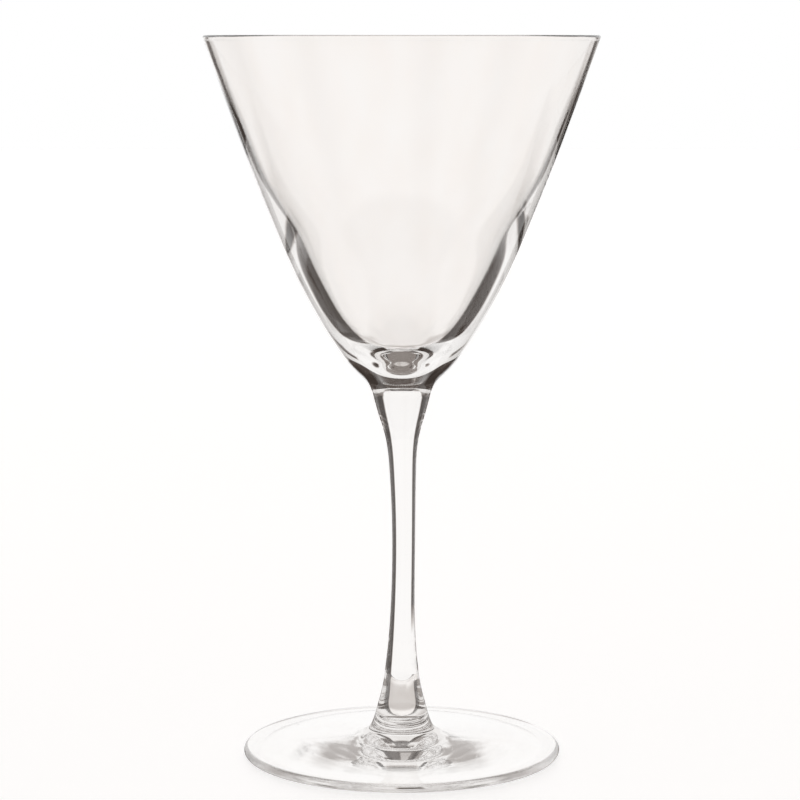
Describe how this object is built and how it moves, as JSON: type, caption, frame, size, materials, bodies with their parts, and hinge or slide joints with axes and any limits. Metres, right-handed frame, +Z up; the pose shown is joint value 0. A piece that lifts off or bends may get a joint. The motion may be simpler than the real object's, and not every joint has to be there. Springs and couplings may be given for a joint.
{
  "type": "martini glass",
  "caption": "Stemmed cocktail glass: V-shaped thick-based bowl fused to a slim drawn stem and a round conical foot.",
  "frame": {"origin": "centre of the circle that the foot stands on, in the plane of its contact ring", "axes": "+Z up along the glass's axis, from the foot to the rim; the glass is round, so X and Y are free"},
  "size_m": [0.105, 0.105, 0.194],
  "materials": {
    "bowl_glass": "clear blown glass, fire-polished, faintly warm",
    "stem_glass": "clear drawn glass, fire-polished, faintly warm",
    "foot_glass": "clear spun glass, fire-polished, with a slightly worn contact ring"
  },
  "bodies": {
    "root": {"bowl": "bowl_glass", "stem": "stem_glass", "foot": "foot_glass"}
  },
  "joints": []
}
